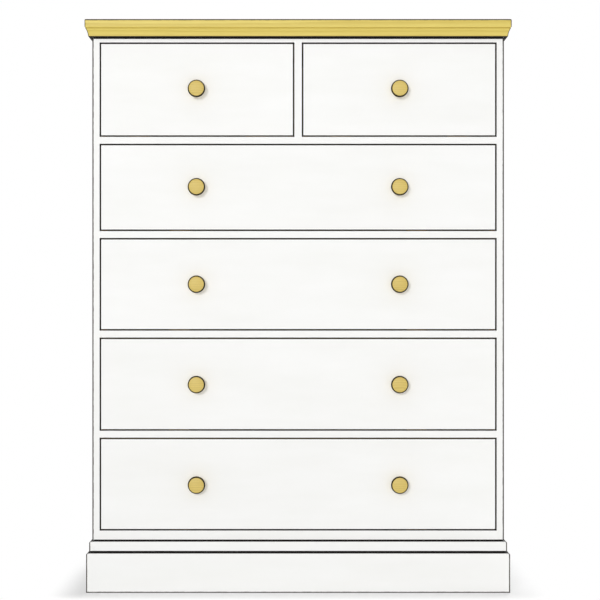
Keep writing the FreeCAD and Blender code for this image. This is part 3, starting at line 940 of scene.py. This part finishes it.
def cross_recessed(head, finish):
    """A screw head with a cross sunk into its top. The head's top is its furthest reach along -Y."""
    top = min(vertex.co.y for vertex in head.vertices)
    arms = bmesh.new()
    for long, wide in ((CROSS_REACH, CROSS_WIDTH), (CROSS_WIDTH, CROSS_REACH)):
        add_block(arms, (long, 2 * CROSS_DEPTH, wide), (0.0, top, 0.0))
    cutter = mesh_object("cross", as_mesh(arms, "cross"), finish)
    return cut_by(mesh_object("head", head, finish), cutter)


def machine_screw(zinc):
    """The pan head and washer of the screw that holds a knob."""
    return cross_recessed(lathe("machine_screw", MACHINE_SCREW_PROFILE, SCREW_SEGMENTS), zinc)


def back_screw(zinc):
    """The flat head of a screw in the back panel."""
    return cross_recessed(lathe("back_screw", BACK_SCREW_PROFILE, SCREW_SEGMENTS), zinc)


def rail_levels():
    """The middles of the gaps between one row of drawers and the next."""
    boxes = [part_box(drawer + "_front") for drawer in DRAWERS]
    rows = sorted({tuple(round(corner.z, LEVEL_DECIMALS) for corner in box) for box in boxes})
    return [(below[1] + above[0]) / 2 for below, above in zip(rows, rows[1:])]


def evenly(first, last, count):
    """Numbers at even steps from the first to the last."""
    return [first + (last - first) * step / (count - 1) for step in range(count)]


def back_screw_places():
    """Screws along the edges of the back panel and across each rail."""
    low, high = BACK_PANEL
    edge = high.x - BACK_SCREW_INSET
    bottom = low.z + BACK_SCREW_INSET
    top = high.z - BACK_SCREW_INSET
    places = [(x, high.y, z) for x in (-edge, edge) for z in evenly(bottom, top, BACK_SCREWS_UP)]
    across = evenly(-edge, edge, BACK_SCREWS_ACROSS)[1:-1]
    places += [(x, high.y, z) for x in across for z in (bottom, *rail_levels(), top)]
    return places


def countersunk_panel(finish, places):
    """The back panel's sheet, with a countersink at each place."""
    low, high = BACK_PANEL
    board = bmesh.new()
    add_block(board, high - low, (low + high) / 2)
    sheet = mesh_object("sheet", as_mesh(board, "screwed_back_panel"), finish)
    cone = lathe("countersink", COUNTERSINK_PROFILE, SCREW_SEGMENTS)
    return cut_by(sheet, set_out("countersinks", cone, places, FACING_BACK, finish))


def add_back(zinc):
    """The back panel, countersunk for its screws, and the screws."""
    finish = plywood("back_plywood", "Z")
    give(finish, "back_panel")
    places = back_screw_places()
    panel = mesh_object("screwed_back_panel", countersunk_panel(finish, places), finish)
    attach(panel, "case")
    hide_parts("back_panel")
    screws = set_out("back_panel_screws", back_screw(zinc), places, FACING_BACK, zinc)
    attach(screws, "case")


# The drawers

def turned_knob():
    """One knob at the origin, turned about -Y."""
    shares = smooth_through(KNOB_SHARES, KNOB_STEPS)
    profile = [(max(0.0, out) * KNOB_RADIUS, along * KNOB_PROJECTION) for out, along in shares]
    return lathe("turned_knob", profile, KNOB_SEGMENTS)


def knob_middles(drawer):
    """Where the middles of a drawer's knobs are, along X and Z."""
    low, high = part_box(drawer + "_knobs")
    radius = (high.z - low.z) / 2
    columns = [low.x + radius, high.x - radius]
    if columns[1] - columns[0] < radius:
        columns = [(low.x + high.x) / 2]
    return [(x, (low.z + high.z) / 2) for x in columns]


def add_knobs(drawer, middles, knob, finish, first_number):
    """A drawer's knobs, in the places of its CAD ones."""
    places = [(x, CASE_FRONT, z) for x, z in middles]
    knobs = set_out(drawer + "_turned_knobs", knob, places, FACING_FRONT, finish, first_number)
    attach(knobs, drawer)
    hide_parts(drawer + "_knobs")


def add_knob_screws(drawer, middles, screw, zinc):
    """The screws of a drawer's knobs, on the back of its front."""
    places = [(x, DRAWER_FRONT_BACK, z) for x, z in middles]
    screws = set_out(drawer + "_knob_screws", screw, places, FACING_BACK, zinc)
    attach(screws, drawer)


def dress_drawers(lengthways, crossways, zinc):
    """The finishes of all the drawers, their knobs and the knobs' screws. Knobs are numbered from 1."""
    bottom_finish = plywood("drawer_plywood", "X")
    knob_finish = turned_knob_wood()
    knob = turned_knob()
    screw = machine_screw(zinc)
    number = 1
    for drawer in DRAWERS:
        give(painted_drawer_front(drawer), drawer + "_front")
        give(lengthways, drawer + "_sides")
        give(crossways, drawer + "_back")
        give(bottom_finish, drawer + "_bottom")
        give(knob_finish, drawer + "_knobs")
        middles = knob_middles(drawer)
        add_knobs(drawer, middles, knob, knob_finish, number)
        add_knob_screws(drawer, middles, screw, zinc)
        number += len(middles)


# The stage

def seen_directly(tree):
    """1 for what a camera, a mirror or a lens sees, and 0 for what lights a surface."""
    paths = add(tree, "ShaderNodeLightPath").outputs
    return fold(tree, "MAXIMUM", *[paths[f"Is {ray} Ray"] for ray in ("Camera", "Glossy", "Transmission")])


def pale_floor():
    """A pale floor that keeps the shadow under the chest, and is seen to fade to white away from it."""
    material, tree = new_material("pale_floor")
    low, high = CAD_BOX
    middle = (low + high) / 2
    half = (high - low) / 2
    offset = vector_calc(tree, "SUBTRACT", object_place(tree), (middle.x, middle.y, 0.0))
    outside = vector_calc(tree, "SUBTRACT", vector_calc(tree, "ABSOLUTE", offset), (half.x, half.y, 0.0))
    distance = vector_calc(tree, "LENGTH", vector_calc(tree, "MAXIMUM", outside, (0.0, 0.0, 0.0)))
    faded = between(tree, distance, *SHADOW_FADE, 1.0 - SHADOW_SHARE, 1.0)
    pale = add(tree, "ShaderNodeBsdfDiffuse", {"Color": FLOOR_SHADE})
    white = add(tree, "ShaderNodeEmission", {"Color": WHITE, "Strength": 1.0})
    mixed = add(tree, "ShaderNodeMixShader", {
        0: calc(tree, "MULTIPLY", seen_directly(tree), faded), 1: pale.outputs[0], 2: white.outputs[0],
    })
    add(tree, "ShaderNodeOutputMaterial", {"Surface": mixed.outputs[0]})
    return material


def add_floor():
    """A wide square of floor."""
    mesh = bpy.data.meshes.new("floor")
    corners = [(x * FLOOR_REACH, y * FLOOR_REACH, 0.0) for x, y in ((-1, -1), (1, -1), (1, 1), (-1, 1))]
    mesh.from_pydata(corners, [], [(0, 1, 2, 3)])
    floor = mesh_object("floor", mesh, pale_floor())


def add_sky():
    """A sky that is white to see, and lights the chest more from the front, the back and the top."""
    world = bpy.data.worlds.new("studio")
    world.use_nodes = True
    sky = world.node_tree
    sky.nodes.clear()
    direction = axes(sky, add(sky, "ShaderNodeTexCoord").outputs["Generated"])
    front = calc(sky, "MULTIPLY", direction["Y"], -1.0, clamp=True)
    back = calc(sky, "MULTIPLY", direction["Y"], 1.0, clamp=True)
    top = calc(sky, "MULTIPLY", direction["Z"], 1.0, clamp=True)
    light = weighed(sky, (front, SKY_FRONT), (back, SKY_BACK), (top, SKY_TOP))
    light = calc(sky, "ADD", light, SKY_EVEN)
    strength = mix_number(sky, seen_directly(sky), light, 1.0)
    background = add(sky, "ShaderNodeBackground", {"Color": WHITE, "Strength": strength})
    add(sky, "ShaderNodeOutputWorld", {"Surface": background.outputs[0]})
    bpy.context.scene.world = world


def add_lamps():
    """Soft lamps that the camera doesn't see."""
    for lamp in LAMPS:
        light = bpy.data.lights.new(lamp.name, "AREA")
        light.size = lamp.width
        light.energy = lamp.watts
        made = bpy.data.objects.new(lamp.name, light)
        made.location = lamp.place
        made.rotation_euler = (Vector(lamp.aim) - Vector(lamp.place)).to_track_quat("-Z", "Y").to_euler()
        made.visible_camera = False
        bpy.context.scene.collection.objects.link(made)


def add_camera():
    """A camera straight on to the front, with the case's edges at the picture's pixels."""
    pixel = 2 * CASE_HALF_WIDTH / (CASE_RIGHT_PIXEL - CASE_LEFT_PIXEL)
    middle_pixel = (CASE_LEFT_PIXEL + CASE_RIGHT_PIXEL) / 2
    data = bpy.data.cameras.new("picture_camera")
    data.sensor_width = SENSOR_MILLIMETRES
    data.lens = SENSOR_MILLIMETRES * EYE_DISTANCE / (pixel * PICTURE_PIXELS)
    made = bpy.data.objects.new("picture_camera", data)
    sideways = (PICTURE_PIXELS / 2 - middle_pixel) * pixel
    made.location = (sideways, CASE_FRONT - EYE_DISTANCE, EYE_LEVEL)
    made.rotation_euler = (math.pi / 2, 0.0, 0.0)
    bpy.context.scene.collection.objects.link(made)
    bpy.context.scene.camera = made


bpy.context.scene.view_settings.view_transform = "Standard"
zinc = zinc_plate()
lengthways = bare_pine("pine_lengthways", "Y", LENGTHWAYS_CUT)
crossways = bare_pine("pine_crossways", "X", CROSSWAYS_CUT)
paint_case()
paint_base()
dress_top()
dress_inside(lengthways, crossways)
add_back(zinc)
dress_drawers(lengthways, crossways, zinc)
add_floor()
add_sky()
add_lamps()
add_camera()
